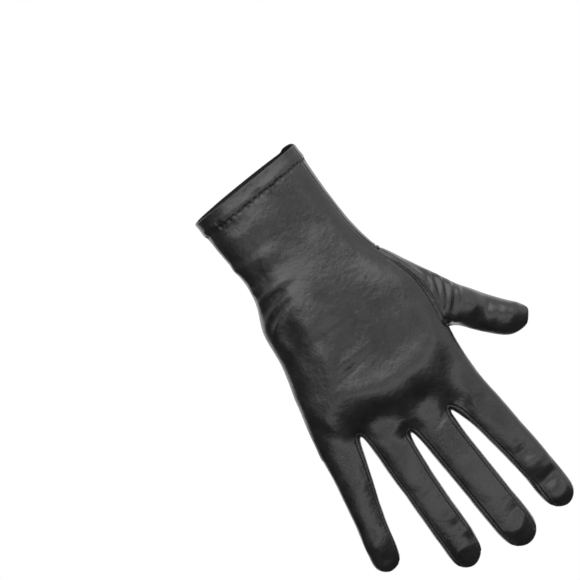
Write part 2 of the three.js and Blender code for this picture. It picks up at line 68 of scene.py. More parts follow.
# name, width, depth, length, splay, bow, curl, taper, web
FINGERS = [
    ("little", 20.4, 16.0, 64.8, -0.294, 0.0, 0.12, 0.255, 0.904),
    ("ring", 18.9, 17.0, 79.5, -0.095, 0.019, 0.1, 0.07, 1.0),
    ("middle", 20.4, 17.4, 78.8, 0.006, -0.002, 0.08, 0.075, 1.024),
    ("index", 21.2, 17.0, 79.0, 0.111, -0.053, 0.09, 0.205, 0.956),
]
# at, open, shift, back, palm, square
HAND_SECTIONS = [
    (0.0, 0.02, 0.0, 0.5, 0.5, 2.2),
    (0.052, -0.02, 0.01, 0.49, 0.49, 2.2),
    (0.14, -0.05, 0.025, 0.48, 0.49, 2.2),
    (0.25, -0.09, 0.03, 0.475, 0.5, 2.25),
    (0.35, 0.02, 0.11, 0.475, 0.53, 2.35),
    (0.435, 0.3, 0.26, 0.48, 0.55, 2.4),
    (0.515, 0.55, 0.22, 0.485, 0.56, 2.45),
    (0.595, 0.73, 0.17, 0.485, 0.55, 2.5),
    (0.675, 0.86, 0.29, 0.485, 0.52, 2.55),
    (0.75, 0.9, 0.47, 0.48, 0.48, 2.6),
    (0.825, 0.9, 0.67, 0.47, 0.44, 2.6),
    (0.915, 0.93, 0.87, 0.34, 0.36, 2.6),
]
THUMB_ROWS = (5, 10)
THUMB_COLUMNS = (8, 11)
# at, slim, round, depth
FINGER_SECTIONS = [
    (0.1, 0.2, 1.0, 0.97),
    (0.31, 0.55, 1.0, 0.94),
    (0.56, 0.9, 1.0, 0.9),
    (0.81, 1.0, 0.985, 0.85),
    (0.94, 1.0, 0.77, 0.82),
]
FINGER_CORNER = (0.82, 0.66)
# free, outer edge (right, up), inner edge, to the palm, depth
THUMB_SECTIONS = [
    (0.4, (0.11, 0.23), (0.13, -0.42), 0.02, 1.3),
    (0.85, (0.195, 0.02), (0.16, -0.48), 0.06, 1.18),
    (1.0, (0.285, -0.15), (0.19, -0.55), 0.115, 1.06),
    (1.0, (0.383, -0.313), (0.247, -0.638), 0.165, 0.96),
    (1.0, (0.487, -0.476), (0.324, -0.734), 0.205, 0.87),
    (1.0, (0.603, -0.632), (0.428, -0.81), 0.23, 0.66),
]
THUMB_CORNER = 0.45
THUMB_STRETCH = 1.6
THUMB_TIP = (0.61, -0.78, 0.235)
# The cloth's own places, in millimetres: the row that they are measured round, and the cells of
# a fingertip and of the thumb (across, down).
MEASURED_ROW = 6
TIP_CELL = 6.0
THUMB_CELL = (5.2, 9.5)

BACK_COLUMNS = 2 * len(FINGERS)
COLUMNS = 2 * BACK_COLUMNS + 4
INDEX_SIDE = BACK_COLUMNS + 1
LITTLE_SIDE = COLUMNS - 1


def lerp(a, b, t):
    return a + (b - a) * t


def smooth(t):
    t = np.clip(t, 0.0, 1.0)
    return t * t * (3 - 2 * t)


def unit(v):
    v = np.asarray(v, float)
    return v / np.maximum(np.linalg.norm(v, axis=-1, keepdims=True), 1e-12)


knuckle_half = (sum(f[1] + WEB_GAP for f in FINGERS) - WEB_GAP) / 2
web_across = [-knuckle_half - WEB_GAP / 2]
for f in FINGERS:
    web_across.append(web_across[-1] + f[1] + WEB_GAP)


def column_share(step):
    if step in (0, BACK_COLUMNS):
        return SIDE_SHARE if step else -SIDE_SHARE
    return (web_across[step // 2] + web_across[(step + 1) // 2]) / 2 / knuckle_half


def web_level(step):
    levels = [LITTLE_SIDE_WEB, *(f[8] for f in FINGERS)]
    return (levels[step // 2] + levels[(step + 1) // 2]) / 2


def column_place(column):
    if column <= BACK_COLUMNS:
        return column, -1
    if column == INDEX_SIDE:
        return BACK_COLUMNS, 0
    if column == LITTLE_SIDE:
        return 0, 0
    return LITTLE_SIDE - 1 - column, 1


def hand_point(section, share, side, level):
    at, open_, shift, back, palm, square = section
    half = lerp(CUFF_WIDTH / 2, knuckle_half, open_)
    grown = float(smooth(at / CUFF_END))
    arch = (1 - abs(share) ** square) ** (1 / square)
    rise = (RIM_RISE * arch if side > 0 else 0) * (1 - grown)
    depth = lerp(CUFF_DEPTH / 2, (back if side < 0 else palm) * PALM_DEPTH, grown) * arch * side
    x = half * (share if side else math.copysign(1, share)) - KNUCKLE_SHIFT * shift
    return [x, depth, rise - at * lerp(1, level, at) * PALM_LENGTH]


def to_disc(u, v, stretch=1.0):
    p, q = u * math.sqrt(1 - v * v / 2), v * math.sqrt(1 - u * u / 2)
    share = math.hypot(p, q) / math.hypot(p, q * stretch) if p or q else 1
    return p * share, q * stretch * share


class Cage:
    """The control mesh: points, named paths, and faces with a panel and places on the cloth."""

    def __init__(self):
        self.points, self.faces, self.panels, self.cloth, self.paths = [], [], [], [], {}

    def add(self, p):
        self.points.append(np.array(p, float))
        return len(self.points) - 1

    def face(self, panel, corners, cloth):
        self.faces.append(corners)
        self.panels.append(panel)
        self.cloth.append(cloth)


def grid_edge(wide, high):
    cells = [(i, 0) for i in range(wide)]
    cells += [(wide, j) for j in range(high)]
    cells += [(i, high) for i in range(wide, 0, -1)]
    return cells + [(0, j) for j in range(high, 0, -1)]


def grow_tube(cage, ring, wide, high, sections, place, tip, panels, end_panels, across, down):
    """Closes a ring of points with sections of a tube and an end of wide by high faces.

    across[k] is the cloth's place of column k round the ring, and down[r] that of ring r.
    """
    edge = [(2 * i / wide - 1, 2 * j / high - 1) for i, j in grid_edge(wide, high)]
    rings = [ring]
    for r, section in enumerate(sections):
        made = [cage.add(place(section, u, v, ring[k])) for k, (u, v) in enumerate(edge)]
        last = rings[-1]
        for k, point in enumerate(made):
            after = (k + 1) % len(made)
            a, b = across[k]
            spots = [(a, down[r]), (a, down[r + 1]), (b, down[r + 1]), (b, down[r])]
            cage.face(panels[k], [last[k], point, made[after], last[after]], spots)
        rings.append(made)
    end = [[None] * (high + 1) for _ in range(wide + 1)]
    for k, (i, j) in enumerate(grid_edge(wide, high)):
        end[i][j] = rings[-1][k]
    for i in range(1, wide):
        for j in range(1, high):
            end[i][j] = cage.add(tip(2 * i / wide - 1, 2 * j / high - 1))
    for i in range(wide):
        for j in range(high):
            cells = [(i + 1, j), (i, j), (i, j + 1), (i + 1, j + 1)]
            spots = [(across[0][0] + a * TIP_CELL, down[-1] + b * TIP_CELL) for a, b in cells]
            cage.face(end_panels[j], [end[a][b] for a, b in cells], spots)
    return rings, end


def build_cage():
    cage = Cage()
    rows = []
    for section in HAND_SECTIONS:
        row = []
        for column in range(COLUMNS):
            step, side = column_place(column)
            row.append(cage.add(hand_point(section, column_share(step), side, web_level(step))))
        rows.append(row)
    last = HAND_SECTIONS[-1]
    base_depth = (last[4] - last[3]) * PALM_DEPTH / 2

    def web_point(column):
        step, side = column_place(column)
        finger = min(step // 2, len(FINGERS) - 1)
        deep = FINGERS[finger][2] / 2
        is_web = step % 2 == 0 and 0 < step < BACK_COLUMNS
        is_corner = step in (0, BACK_COLUMNS)
        share = column_share(step)
        if is_corner and not side:
            share = math.copysign(1, share)
        reach = WEB_REACH if is_web else SIDE_REACH if is_corner else 1
        rise = (WEB_SLOPE if side < 0 else PALM_WEB_SLOPE) if is_web else 0
        x = share * knuckle_half - KNUCKLE_SHIFT
        return [x, base_depth + side * deep * reach, rise - web_level(step) * PALM_LENGTH]

    web_row = [cage.add(web_point(column)) for column in range(COLUMNS)]
    rows.append(web_row)
    web_middles = []
    for k, across in enumerate(web_across):
        if k == 0:
            web_middles.append(web_row[LITTLE_SIDE])
        elif k == len(FINGERS):
            web_middles.append(web_row[INDEX_SIDE])
        else:
            spot = [across - KNUCKLE_SHIFT, base_depth, -web_level(2 * k) * PALM_LENGTH]
            web_middles.append(cage.add(spot))

    # The cloth's own places: round the hand by column, and down it by row.
    middle = np.array([cage.points[i] for i in rows[MEASURED_ROW]])
    steps = np.linalg.norm(np.roll(middle, -1, axis=0) - middle, axis=1)
    round_ = np.concatenate([[0], np.cumsum(steps)])
    levels = [-np.mean([cage.points[i][2] for i in row]) for row in rows]
    for row in range(len(rows) - 1):
        for column in range(COLUMNS):
            if row in range(*THUMB_ROWS) and column in range(*THUMB_COLUMNS):
                continue
            after = (column + 1) % COLUMNS
            (a, b), (top, foot) = round_[column : column + 2], levels[row : row + 2]
            spots = [(a, top), (a, foot), (b, foot), (b, top)]
            corners = [
                rows[row][column],
                rows[row + 1][column],
                rows[row + 1][after],
                rows[row][after],
            ]
            back_ends = BACK_COLUMNS if row < THUMB_ROWS[1] else INDEX_SIDE
            is_back = column < back_ends or column == LITTLE_SIDE
            cage.face("back" if is_back else "palm", corners, spots)
    cage.paths["rim"] = rows[0] + rows[0][:1]
    side_path = [row[LITTLE_SIDE] for row in rows]
    cage.paths["side_cuff"] = [row[BACK_COLUMNS] for row in rows[: THUMB_ROWS[0] + 1]]
    index_path = [row[INDEX_SIDE] for row in rows[THUMB_ROWS[1] :]]

    back_seams, tips = {}, {}
    for f, (_, width, depth, length, splay, bow, curl, taper, _) in enumerate(FINGERS):
        ring = [web_row[2 * f + k] for k in range(3)]
        ring.append(web_middles[f + 1])
        ring += [web_row[LITTLE_SIDE - 1 - 2 * f - k] for k in (2, 1, 0)]
        ring.append(web_middles[f])
        middle_level = web_level(2 * f + 1)
        webs = [
            (web_level(step) - middle_level) * PALM_LENGTH / length for step in (2 * f, 2 * f + 2)
        ]
        end_at = FINGER_SECTIONS[-1][0]
        middle_x = (web_across[f] + web_across[f + 1]) / 2 - KNUCKLE_SHIFT
        start = np.array([middle_x, base_depth, -middle_level * PALM_LENGTH])

        def line(at):
            return start + length * np.array([splay * at + bow * at * at, curl * at * at, -at])

        def axes(at):
            along = unit(line(at + 0.01) - line(at - 0.01))
            across = -unit(np.cross([0, 1, 0], along))
            return across, unit(np.cross(across, along))

        def place(section, u, v, _point):
            at, slim, round_share, deep_share = section
            at = at + lerp(webs[0], webs[1], (u + 1) / 2) * (1 - at / end_at)
            across, deep = axes(at)
            p, q = (u * FINGER_CORNER[0], v * FINGER_CORNER[1]) if u and v else to_disc(u, v)
            half_width = width / 2 * (1 - taper * slim) * round_share
            half_depth = depth / 2 * deep_share * round_share
            return line(at) + across * half_width * p + deep * half_depth * q

        def between(k):
            if 0 <= k < len(FINGERS) - 1:
                return f"fourchette_{FINGERS[k][0]}_{FINGERS[k + 1][0]}"
            return None

        facing, away = between(f), between(f - 1)
        panels = ["back", "back", facing or "back", facing or "palm"]
        panels += ["palm", "palm", away or "palm", away or "back"]
        columns = [2 * f, 2 * f + 1, 2 * f + 2, INDEX_SIDE]
        columns += [LITTLE_SIDE - k - 2 * f for k in (3, 2, 1)] + [LITTLE_SIDE]
        across = [(round_[column], round_[column + 1]) for column in columns]
        down = [levels[-1]] + [levels[-1] + s[0] * length for s in FINGER_SECTIONS]
        ends, tip = ["back", "palm"], lambda u, v: line(1)
        rings, end = grow_tube(
            cage, ring, 2, 2, FINGER_SECTIONS, place, tip, panels, ends, across, down
        )
        back_seams[f] = rings
        tips[f] = end
        if f == 0:
            side_path += [r[7] for r in rings[1:]]
        if f == len(FINGERS) - 1:
            index_path += [r[3] for r in rings[1:]]
    for f in range(len(FINGERS) - 1):
        name = f"{FINGERS[f][0]}_{FINGERS[f + 1][0]}"
        a, b = back_seams[f], back_seams[f + 1]
        cage.paths["back_" + name] = [r[2] for r in reversed(a)] + [r[0] for r in b[1:]]
        cage.paths["palm_" + name] = [r[4] for r in reversed(a)] + [r[6] for r in b[1:]]
        cage.paths["end_" + name + "_a"] = [a[-1][2], a[-1][3], a[-1][4]]
        cage.paths["end_" + name + "_b"] = [b[-1][6], b[-1][7], b[-1][0]]
    for f, end in tips.items():
        cage.paths["tip_" + FINGERS[f][0]] = [end[0][1], end[1][1], end[2][1]]
    cage.paths["side"] = side_path
    cage.paths["side_index"] = index_path

    # The thumb.
    top, bottom = THUMB_ROWS
    back, palm = THUMB_COLUMNS
    wide, high = palm - back, bottom - top
    cells = grid_edge(wide, high)
    ring = [rows[top + j][back + i] for i, j in cells]
    for k, (i, j) in enumerate(cells):
        if i % wide == 0 and j % high == 0:
            beside = (cage.points[ring[k - 1]] + cage.points[ring[(k + 1) % len(ring)]]) / 2
            cage.points[ring[k]] = lerp(cage.points[ring[k]], beside, THUMB_CORNER)
    root = np.mean([cage.points[i] for i in ring], axis=0)

    def spot(right, up, to_palm):
        return root + THUMB_LENGTH * np.array([right, to_palm, up])

    tip_point = spot(*THUMB_TIP)
    middles = [
        spot((outer[0] + inner[0]) / 2, (outer[1] + inner[1]) / 2, to_palm)
        for _, outer, inner, to_palm, _ in THUMB_SECTIONS
    ]

    def thumb_axes(section):
        k = THUMB_SECTIONS.index(section)
        before = middles[k - 1] if k else root
        after = middles[k + 1] if k + 1 < len(middles) else tip_point
        _, outer, inner, to_palm, depth = section
        inward = (spot(*inner, to_palm) - spot(*outer, to_palm)) / 2
        deep = unit(np.cross(after - before, inward)) * THUMB_DEPTH * depth / 2
        return middles[k], inward, deep

    def thumb_place(section, u, v, point):
        centre, inward, deep = thumb_axes(section)
        q, p = to_disc(u, v, THUMB_STRETCH)
        return lerp(cage.points[point], centre + inward * p + deep * q, section[0])

    def thumb_tip(u, v):
        centre, inward, deep = thumb_axes(THUMB_SECTIONS[-1])
        q, p = to_disc(u, v, THUMB_STRETCH)
        dome = math.sqrt(max(0, 1 - p * p - q * q))
        return lerp(centre, tip_point, dome) + inward * p + deep * q

    across = [(k * THUMB_CELL[0], (k + 1) * THUMB_CELL[0]) for k in range(len(ring))]
    down = [k * THUMB_CELL[1] for k in range(len(THUMB_SECTIONS) + 1)]
    panels, ends = ["thumb"] * len(ring), ["thumb"] * high
    grow_tube(
        cage, ring, wide, high, THUMB_SECTIONS, thumb_place, thumb_tip, panels, ends, across, down
    )
    cage.paths["thumb"] = ring + ring[:1]
    return cage


class Surface:
    """A mesh of four-cornered faces as arrays, with places on the cloth and named paths."""

    def __init__(self, points, faces, panels, cloth, paths):
        self.points, self.faces, self.panels = points, faces, panels
        self.cloth, self.paths = cloth, paths

    def edges(self):
        """Pairs of points, their sorted keys, each face side's pair, and each pair's faces."""
        f = self.faces
        pairs = np.stack([f, np.roll(f, -1, axis=1)], axis=2).reshape(-1, 2)
        pairs.sort(axis=1)
        keys = pairs[:, 0].astype(np.int64) * len(self.points) + pairs[:, 1]
        found, first, where, count = np.unique(
            keys, return_index=True, return_inverse=True, return_counts=True
        )
        return pairs[first], found, where.reshape(f.shape), count

    def sums(self):
        """For each point: how many faces it has, the sums of its neighbours, of the points across
        its faces and of its neighbours on an open edge, and whether it is on one."""
        n = len(self.points)
        f, p = self.faces, self.points
        pairs, _, _, count = self.edges()
        beside, across = np.zeros((n, 3)), np.zeros((n, 3))
        degree = np.bincount(f.ravel(), minlength=n)
        for a, b in (pairs.T, pairs.T[::-1]):
            np.add.at(beside, a, p[b])
        for k in range(4):
            np.add.at(across, f[:, k], p[f[:, (k + 2) % 4]])
        rim = pairs[count == 1]
        open_sum, is_open = np.zeros((n, 3)), np.zeros(n, bool)
        for a, b in (rim.T, rim.T[::-1]):
            np.add.at(open_sum, a, p[b])
            is_open[a] = True
        return degree[:, None], beside, across, open_sum, is_open

    def limit(self):
        """Where the points end up when the mesh is divided without end."""
        n, beside, across, open_sum, is_open = self.sums()
        p = self.points
        inner = (n * n * p + 4 * beside + across) / (n * (n + 5.0))
        return np.where(is_open[:, None], (open_sum + 4 * p) / 6, inner)

    def fit(self, rounds=8):
        """Moves the points so that the smooth surface passes through where they are now."""
        target = self.points.copy()
        for _ in range(rounds):
            self.points = self.points + target - self.limit()

    def subdivided(self):
        """The mesh with each face divided into four, by Catmull and Clark's rule."""
        n, beside, across, open_sum, is_open = self.sums()
        p, f = self.points, self.faces
        pairs, keys, where, count = self.edges()
        centres = p[f].mean(axis=1)
        corner = (across + 6 * beside) / (4.0 * n * n) + p * (1 - 7 / (4.0 * n))
        corner = np.where(is_open[:, None], (open_sum + 6 * p) / 8, corner)
        near = np.zeros((len(pairs), 3))
        np.add.at(near, where.ravel(), np.repeat(centres, 4, axis=0))
        middle = p[pairs].sum(axis=1)
        middle = np.where(count[:, None] == 2, (middle + near) / 4, middle / 2)
        centre_id = len(p) + np.arange(len(f))
        middle_id = len(p) + len(f) + np.arange(len(pairs))
        after = middle_id[where]
        before = np.roll(after, 1, axis=1)
        quads = np.stack([f, after, np.repeat(centre_id[:, None], 4, axis=1), before], axis=2)
        c = self.cloth
        c_after = (c + np.roll(c, -1, axis=1)) / 2
        c_before = np.roll(c_after, 1, axis=1)
        c_centre = np.repeat(c.mean(axis=1)[:, None], 4, axis=1)
        cloth = np.stack([c, c_after, c_centre, c_before], axis=2).reshape(-1, 4, 2)
        paths = {}
        for name, path in self.paths.items():
            ends = np.sort(np.stack([path[:-1], path[1:]], axis=1), axis=1)
            found = np.searchsorted(keys, ends[:, 0].astype(np.int64) * len(p) + ends[:, 1])
            merged = np.empty(2 * len(path) - 1, int)
            merged[0::2], merged[1::2] = path, middle_id[found]
            paths[name] = merged
        points = np.concatenate([corner, centres, middle])
        return Surface(points, quads.reshape(-1, 4), np.repeat(self.panels, 4), cloth, paths)

    def normals(self):
        p = self.points[self.faces]
        facing = np.cross(p[:, 2] - p[:, 0], p[:, 3] - p[:, 1])
        out = np.zeros_like(self.points)
        for k in range(4):
            np.add.at(out, self.faces[:, k], facing)
        return unit(out)


cage = build_cage()
surface = Surface(
    np.array(cage.points),
    np.array(cage.faces),
    np.array(cage.panels),
    np.array(cage.cloth, float),
    {name: np.array(path) for name, path in cage.paths.items()},
)
surface.fit()


def refined(levels):
    out = surface
    for _ in range(levels):
        out = out.subdivided()
    out.points = out.limit()
    return out


LATTICE_MIX = np.array([374761393, 668265263, 2147483647])
SEED_MIX, LAST_MIX = 974711, 1274126177


def lattice(p, seed):
    """Smooth noise without a repeat: a value for each point, from about -1 to 1."""
    cell = np.floor(p).astype(np.int64)
    t = p - cell
    t = t * t * t * (t * (6 * t - 15) + 10)

    def value(corner):
        h = corner @ LATTICE_MIX + seed * SEED_MIX
        h = (h ^ (h >> 13)) * LAST_MIX
        h = h ^ (h >> 16)
        return (h & 0xFFFF) / 32767.5 - 1

    total = 0
    for dx in (0, 1):
        for dy in (0, 1):
            for dz in (0, 1):
                weight = np.abs(1 - np.array([dx, dy, dz]) - t).prod(axis=1)
                total = total + weight * value(cell + [dx, dy, dz])
    return total


def noise(p, size, seed, octaves=2):
    """Lumps of a size for each axis, with lumps of half that size on them."""
    total, share = 0, 1.0
    for k in range(octaves):
        total = total + share * lattice(p / (np.asarray(size) / 2**k) + 17.3 * (k + 1), seed + k)
        share /= 2
    return total


def bell(at, middle, half_width):
    return np.exp(-(((at - middle) / half_width) ** 2))


# Folds of the cloth: side, a curve through three points (x, z), half width and rise in millimetres.
FOLDS = [
    # Cuff and wrist, little finger's side.
    ("B", (-32, -14), (-18, -17), (0, -19), 4.0, 0.5),
    ("B", (-33, -24), (-18, -27.5), (-2, -26), 3.5, -0.55),
    ("B", (-32, -33), (-19, -31), (-7, -33), 2.8, 0.35),
    ("B", (-33, -41), (-20, -39), (-8, -41), 3.0, -0.45),
    ("B", (-29.5, -25), (-30, -29), (-29.5, -33), 4.0, 1.3),
    ("B", (-29, -39), (-30, -43), (-31, -47), 3.5, 0.9),
    ("B", (-28, 0), (-28.5, -22), (-30, -48), 7.0, 1.3),
    ("B", (-9, -8), (-8, -18), (-11, -29), 6.0, 0.5),
    ("B", (-34, -52), (-24, -47.8), (-12, -48.5), 1.8, 1.0),
    ("B", (-34, -56), (-22, -51.8), (-11, -51.5), 2.4, -1.0),
    ("B", (-35, -60), (-26, -55.5), (-16, -54.5), 1.6, 0.6),
    ("B", (-35, -63), (-28, -58.5), (-18, -56.5), 1.8, -0.7),
    ("B", (-37, -69), (-30, -62.5), (-19, -59.5), 1.7, 0.9),
    ("B", (-36, -75), (-30, -70.5), (-21, -66), 4.0, -1.3),
    # Over the back.
    ("B", (-28, -60), (0, -58), (29, -60), 16, 1.2),
    ("B", (-13, -42), (-19, -78), (-31, -113), 11, 2.3),
    ("B", (27, -43), (25, -54), (30, -65), 2.0, -0.5),
    ("B", (-30, -76), (-14, -73), (2, -75), 4, 0.3),
    ("B", (-28, -82), (-12, -80), (4, -82), 4, -0.35),
    ("B", (-27, -99.5), (-15, -97.5), (0, -97.5), 2.8, 0.4),
    ("B", (-26, -103.5), (-15, -102), (-2, -101.5), 2.2, -0.45),
    ("B", (6, -88), (14, -90), (24, -88), 5, -0.25),
    # Knuckles.
    ("B", (-38, -112), (-16, -114.5), (5, -120.5), 6.0, 0.4),
    ("B", (-32, -124), (-20, -130), (-5, -135.5), 7.0, -2.4),
    ("B", (-24, -139.5), (-16, -139.2), (-8, -141), 2.4, 0.55),
    ("B", (-22, -146.5), (-15, -145.8), (-8, -149), 2.0, -0.8),
    ("B", (-4, -120), (8, -118), (23, -118), 7.0, 0.3),
    ("B", (-8, -139), (3, -137), (14, -138), 8.0, -2.6),
    ("B", (-4, -150.5), (3, -149.8), (10, -147), 1.5, -0.35),
    ("B", (10, -148), (16, -150), (22, -152), 6.5, -1.5),
    ("B", (-43, -110), (-41, -118), (-40, -128), 3.5, 0.8),
    # Thumb: drawn from its seam, then across it.
    ("B", (43.5, -84), (42.5, -93), (37.5, -103), 1.2, 1.0),
    ("B", (46.5, -89), (44.5, -98), (38.5, -107), 1.2, 1.0),
    ("B", (49, -95), (46.5, -103), (39, -111), 1.3, 1.0),
    ("B", (52.5, -100), (49.5, -107), (43, -113), 1.6, 0.9),
    ("B", (45, -86), (43.3, -95), (38, -105), 1.2, -1.0),
    ("B", (48, -92), (45.5, -100.5), (38.5, -109), 1.2, -1.0),
    ("B", (51, -97.5), (48, -105), (41, -112), 1.3, -1.0),
    ("B", (53, -104.5), (47, -110), (37, -114.5), 3.0, -1.3),
    ("B", (38.5, -76), (42, -86), (41, -95), 2.6, -1.2),
    ("B", (58, -111), (51, -117), (45, -120), 2.8, 1.0),
    ("B", (61, -117), (56, -122), (50, -127), 2.4, -0.9),
    ("B", (66, -124), (62, -129), (58, -132), 2.6, 0.6),
    ("B", (72, -127), (66, -132), (58, -136), 3.0, 1.0),
    # Ring finger.
    ("B", (-34, -165), (-30, -164), (-26, -166), 3, 0.25),
    ("B", (-34, -172), (-29, -171), (-22, -173), 2.2, -0.3),
    ("B", (-29, -189), (-25, -190), (-20, -191), 2.4, 0.5),
    ("B", (-28, -195), (-24, -196), (-20, -195), 2.2, -0.45),
    ("B", (-26, -199), (-23, -200.5), (-20, -201), 2.2, 0.55),
    ("B", (-25, -206), (-22, -206), (-19, -205), 2.2, -0.4),
    ("B", (-39, -217), (-30, -206.5), (-21, -217), 3.2, 0.9),
    # Middle finger.
    ("B", (-9, -170), (-2, -169), (6, -171), 2.6, 0.25),
    ("B", (-9, -176), (-2, -175), (6, -177), 2.6, -0.25),
    ("B", (-2, -203), (3, -202), (8, -204), 2.0, 0.4),
    ("B", (-3, -209), (3, -208), (8, -209), 2.0, -0.45),
    ("B", (-10, -210), (-2, -216), (7, -210), 2.8, 0.9),
    # Index finger.
    ("B", (20, -182), (24, -183), (28, -182), 1.8, 0.4),
    ("B", (20, -188), (24, -188), (28, -187), 1.8, -0.4),
    ("B", (15, -197), (24, -195), (35, -197), 4.0, 1.3),
    ("B", (14, -205), (24, -207), (34, -203), 4.5, -1.9),
    ("B", (16, -213), (25, -217.5), (34, -212), 2.4, 0.5),
    ("B", (25, -202), (29, -201.5), (34, -203), 2.2, 0.7),
    # Little finger.
    ("B", (-55, -150), (-50, -151), (-45, -150), 3.0, 0.25),
    ("B", (-70, -181), (-61, -178), (-52, -184), 6.0, 1.4),
    ("B", (-40, -122), (-48, -148), (-56, -174), 6.0, 0.9),
    ("B", (-68, -188), (-62, -188.5), (-56, -189), 3.0, -0.4),
    # Palm: its creases, the wrist's, and each finger's joints.
    ("P", (24, -64), (9, -80), (5, -108), 3.0, -1.0),
    ("P", (27, -112), (6, -106), (-28, -92), 2.6, -0.8),
    ("P", (-42, -108), (-14, -113), (14, -128), 2.6, -0.8),
    ("P", (-36, -84), (-30, -94), (-28, -104), 2.4, 0.4),
    ("P", (-28, -43), (0, -45), (27, -43), 2.0, -0.6),
    ("P", (-27, -49), (2, -51), (26, -48), 1.8, 0.5),
    ("P", (-31, -56), (0, -55), (28, -58), 2.2, -0.6),
    ("P", (-22, -22), (0, -24), (24, -21), 4.0, 0.4),
]
# The creases under each finger's joints: a joint's place down the finger as a share of its length,
# and each crease's distance below the joint and rise.
JOINTS = (0.08, 0.36, 0.66)
CREASES = ((0, -0.5), (3, 0.3), (-3, 0.25))
CREASE_HALF_WIDTH = 1.5
CREASE_SAG = 1
for f, (_, width, _, length, splay, bow, *_) in enumerate(FINGERS):
    middle = (web_across[f] + web_across[f + 1]) / 2 - KNUCKLE_SHIFT
    for at in JOINTS:
        x = middle + length * (splay * at + bow * at * at)
        for drop, rise in CREASES:
            z = -web_level(2 * f + 1) * PALM_LENGTH - length * at - drop
            curve = (x - width / 2, z), (x, z - CREASE_SAG), (x + width / 2, z)
            FOLDS.append(("P", *curve, CREASE_HALF_WIDTH, rise))

FOLD_STEPS = 12
FOLD_REACH = 3  # how far a fold reaches, in half widths
FOLD_RUN_ON = 9  # how far it may run on past its ends, in steps
FOLD_FADE = 1.7  # how much it fades towards them


def fold_share(points, normals, fold):
    """The points that a fold reaches, seen in plan on its side of the hand, and each one's rise."""
    side, a, b, c, width, rise = fold
    t = np.linspace(0, 1, FOLD_STEPS + 1)[:, None]
    a, b, c = (np.array(q, float) for q in (a, b, c))
    bend = 2 * b - (a + c) / 2
    line = (1 - t) ** 2 * a + 2 * t * (1 - t) * bend + t * t * c
    lo, hi = line.min(axis=0) - FOLD_REACH * width, line.max(axis=0) + FOLD_REACH * width
    flat = points[:, [0, 2]]
    facing = -normals[:, 1] if side == "B" else normals[:, 1]
    near = np.flatnonzero((facing > 0) & (flat > lo).all(axis=1) & (flat < hi).all(axis=1))
    best, along = np.full(len(near), 1e9), np.zeros(len(near))
    for k in range(len(line) - 1):
        run = line[k + 1] - line[k]
        s = (flat[near] - line[k]) @ run / (run @ run)
        first, last = k == 0, k == len(line) - 2
        s = np.clip(s, -FOLD_RUN_ON if first else 0, FOLD_RUN_ON if last else 1)
        off = np.linalg.norm(flat[near] - line[k] - np.clip(s, 0, 1)[:, None] * run, axis=1)
        closer = off < best
        best[closer], along[closer] = off[closer], ((k + s) / (len(line) - 1))[closer]
    taper = np.exp(-((2 * np.clip(along, 0, 1) - 1) ** 2) * FOLD_FADE)
    share = bell(best, 0, width) * taper * np.minimum(1, facing[near] * 2)
    return near, rise * share


# How deep a seam is drawn in, by how its name starts. The others are 1.
SEAM_DEPTHS = {"end": 0.3, "tip": 0.3, "side": 0.6, "thumb": 1.2}


def seam_field(s):
    """Each point's distance to the nearest seam, its place along that seam, how deep the seam is
    drawn in, and whether it is the thumb's."""
    spots, places, deep, is_thumb = [], [], [], []
    for name, path in s.paths.items():
        if name == "rim":
            continue
        line = s.points[path]
        run = np.concatenate([[0], np.cumsum(np.linalg.norm(np.diff(line, axis=0), axis=1))])
        spots.append(line)
        places.append(run)
        deep.append(np.full(len(path), SEAM_DEPTHS.get(name.split("_")[0], 1.0)))
        is_thumb.append(np.full(len(path), name == "thumb"))
    spots, places, deep, is_thumb = map(np.concatenate, (spots, places, deep, is_thumb))
    tree = kdtree.KDTree(len(spots))
    for k, p in enumerate(spots):
        tree.insert(p, k)
    tree.balance()
    off, nearest = np.zeros(len(s.points)), np.zeros(len(s.points), int)
    for k, p in enumerate(s.points):
        _, nearest[k], off[k] = tree.find(p)
    return off, places[nearest], deep[nearest], is_thumb[nearest]


# Seams: the pitch of their puckers, and off the seam, half width and rise of their lines.
PUCKER_PITCH = 3.3
GROOVE = (0, 0.5, -0.42)
RIDGE = (1.2, 0.6, 0.1)
RIDGE_PUCKER = 0.08  # how much higher the ridge stands at a pucker
# The lines beside the thumb's seam, in the thumb's own cloth.
THUMB_LINES = ((1.3, 0.6, 0.3), (2.5, 0.6, -0.55))
# Hem: its line of stitches below the rim, the pitch of the dents along it, and the radius that
# turns an angle into a place round the cuff.
HEM_LINE = 7.5
DENT_PITCH = 2.7
HEM_RADIUS = 25
# Below the line, half width and rise of the dents, of the band's swell, and of its puckers.
DENTS = (0.4, 0.7, -0.42)
SWELL = (-2.1, 2.6, 0.36)
PUCKERS = ((0.7, 2.0, 0.4), (-1.9, 1.2, 0.24))
# The band's edge: below the line, the length of its slope, and its height.
BAND_EDGE = (-1.0, 1.7, 0.36)
# How uneven the hem is: size of the lumps round and down the cuff, seed, and what they do to the
# band's edge, the dents' places and the dents' pitch. Then the size and seed of its puckers.
UNEVEN_SIZE, UNEVEN_SEED, UNEVEN_EDGE, UNEVEN_DENT, UNEVEN_PITCH = (2.3, 9, 9), 5, 0.7, 0.4, 1.6
PUCKER_SIZE, PUCKER_SEED = (3.0, 7, 9), 7
# Slack in the cloth: size of its lumps along x, y and z, rise and seed.
SLACK = (((16, 40, 24), 0.5, 11), ((5, 12, 6), 0.07, 31))
# The far side of the rim stands up where the thumb's side seam ends in it: x, half width, rise.
TAB = (28, 3.5, 1.2)


